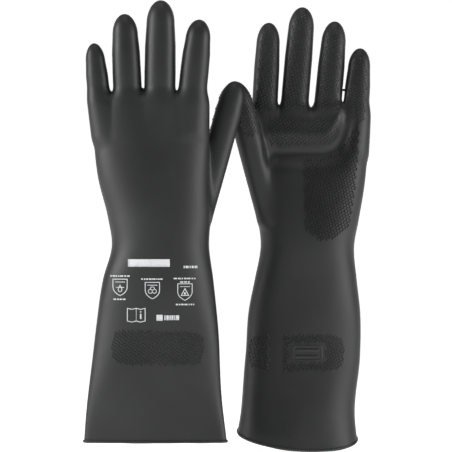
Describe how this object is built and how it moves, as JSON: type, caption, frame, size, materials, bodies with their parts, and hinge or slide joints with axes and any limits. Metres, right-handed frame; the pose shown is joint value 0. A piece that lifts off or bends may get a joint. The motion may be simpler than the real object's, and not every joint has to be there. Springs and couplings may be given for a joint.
{
  "type": "insulating glove pair",
  "caption": "Pair of long rubber gauntlet gloves with rolled cuffs, textured palms, flock lining and plain printed marks on the sleeve, posed upright side by side.",
  "frame": {"origin": "middle of the rear glove's cuff mouth, where a hand goes in", "axes": "+Z towards the fingertips, +X across the palms, +Y through the thickness, away from the side where the front glove shows its back"},
  "size_m": [0.2178, 0.098, 0.3378],
  "materials": {
    "rubber": "matt dipped rubber, slightly mottled",
    "flock": "short cotton flock",
    "ink": "thin matt white ink"
  },
  "bodies": {
    "rear_sleeve": {"rear_sleeve": "rubber", "rear_cuff_bead": "rubber", "rear_sleeve_lining": "flock", "rear_print": "ink", "rear_wrist_band": "rubber"},
    "rear_hand": {"rear_hand": "rubber", "rear_hand_lining": "flock", "rear_index_band": "rubber", "rear_middle_band": "rubber", "rear_ring_band": "rubber", "rear_little_band": "rubber", "rear_thumb_band": "rubber"},
    "rear_index": {"rear_index_stall": "rubber", "rear_index_lining": "flock"},
    "rear_middle": {"rear_middle_stall": "rubber", "rear_middle_lining": "flock"},
    "rear_ring": {"rear_ring_stall": "rubber", "rear_ring_lining": "flock"},
    "rear_little": {"rear_little_stall": "rubber", "rear_little_lining": "flock"},
    "rear_thumb": {"rear_thumb_stall": "rubber", "rear_thumb_lining": "flock"},
    "front_sleeve": {"front_sleeve": "rubber", "front_cuff_bead": "rubber", "front_sleeve_lining": "flock", "front_print": "ink", "front_wrist_band": "rubber"},
    "front_hand": {"front_hand": "rubber", "front_hand_lining": "flock", "front_index_band": "rubber", "front_middle_band": "rubber", "front_ring_band": "rubber", "front_little_band": "rubber", "front_thumb_band": "rubber"},
    "front_index": {"front_index_stall": "rubber", "front_index_lining": "flock"},
    "front_middle": {"front_middle_stall": "rubber", "front_middle_lining": "flock"},
    "front_ring": {"front_ring_stall": "rubber", "front_ring_lining": "flock"},
    "front_little": {"front_little_stall": "rubber", "front_little_lining": "flock"},
    "front_thumb": {"front_thumb_stall": "rubber", "front_thumb_lining": "flock"}
  },
  "joints": [
    {"name": "rear_wrist_bend", "type": "hinge", "parent": "rear_sleeve", "child": "rear_hand", "pos_m": [0, 0, 0.143], "axis": [-1, 0, 0], "range_deg": [0, 45], "stiffness_Nm_per_rad": 0.8, "deforming": ["rear_wrist_band", "rear_hand_lining"]},
    {"name": "rear_index_curl", "type": "hinge", "parent": "rear_hand", "child": "rear_index", "pos_m": [-0.0241, 0, 0.2555], "axis": [0.9986, 0, -0.0523], "range_deg": [-15, 80], "stiffness_Nm_per_rad": 0.06, "deforming": ["rear_index_band", "rear_index_lining"]},
    {"name": "rear_middle_curl", "type": "hinge", "parent": "rear_hand", "child": "rear_middle", "pos_m": [-0.00135, 0, 0.257], "axis": [0.9963, 0, -0.0854], "range_deg": [-15, 80], "stiffness_Nm_per_rad": 0.06, "deforming": ["rear_middle_band", "rear_middle_lining"]},
    {"name": "rear_ring_curl", "type": "hinge", "parent": "rear_hand", "child": "rear_ring", "pos_m": [0.0236, 0, 0.257], "axis": [0.9956, 0, -0.0941], "range_deg": [-15, 80], "stiffness_Nm_per_rad": 0.06, "deforming": ["rear_ring_band", "rear_ring_lining"]},
    {"name": "rear_little_curl", "type": "hinge", "parent": "rear_hand", "child": "rear_little", "pos_m": [0.04455, 0, 0.24725], "axis": [0.9973, 0, -0.0732], "range_deg": [-15, 80], "stiffness_Nm_per_rad": 0.06, "deforming": ["rear_little_band", "rear_little_lining"]},
    {"name": "rear_thumb_swing", "type": "hinge", "parent": "rear_hand", "child": "rear_thumb", "pos_m": [-0.039, -0.0128, 0.232], "axis": [-0.6707, -0.7049, -0.2308], "range_deg": [-40, 10], "stiffness_Nm_per_rad": 0.06, "deforming": ["rear_thumb_band", "rear_thumb_lining"]},
    {"name": "front_glove_lift", "type": "slide", "parent": "rear_sleeve", "child": "front_sleeve", "axis": [0, 0, 1], "range_m": [0, 0.2]},
    {"name": "front_wrist_bend", "type": "hinge", "parent": "front_sleeve", "child": "front_hand", "pos_m": [-0.1075, -0.05, 0.143], "axis": [1, 0, 0], "range_deg": [0, 45], "stiffness_Nm_per_rad": 0.8, "deforming": ["front_wrist_band", "front_hand_lining"]},
    {"name": "front_index_curl", "type": "hinge", "parent": "front_hand", "child": "front_index", "pos_m": [-0.0773, -0.05, 0.2716], "axis": [-0.9949, 0, 0.1011], "range_deg": [-15, 80], "stiffness_Nm_per_rad": 0.06, "deforming": ["front_index_band", "front_index_lining"]},
    {"name": "front_middle_curl", "type": "hinge", "parent": "front_hand", "child": "front_middle", "pos_m": [-0.103, -0.05, 0.2716], "axis": [-0.9999, 0, 0.014], "range_deg": [-15, 80], "stiffness_Nm_per_rad": 0.06, "deforming": ["front_middle_band", "front_middle_lining"]},
    {"name": "front_ring_curl", "type": "hinge", "parent": "front_hand", "child": "front_ring", "pos_m": [-0.1277, -0.05, 0.2716], "axis": [-0.999, 0, -0.0436], "range_deg": [-15, 80], "stiffness_Nm_per_rad": 0.06, "deforming": ["front_ring_band", "front_ring_lining"]},
    {"name": "front_little_curl", "type": "hinge", "parent": "front_hand", "child": "front_little", "pos_m": [-0.1486, -0.05, 0.2581], "axis": [-0.9945, 0, -0.1045], "range_deg": [-15, 80], "stiffness_Nm_per_rad": 0.06, "deforming": ["front_little_band", "front_little_lining"]},
    {"name": "front_thumb_swing", "type": "hinge", "parent": "front_hand", "child": "front_thumb", "pos_m": [-0.0549, -0.0372, 0.2323], "axis": [0.6687, 0.7049, -0.2366], "range_deg": [-40, 10], "stiffness_Nm_per_rad": 0.06, "deforming": ["front_thumb_band", "front_thumb_lining"]}
  ]
}
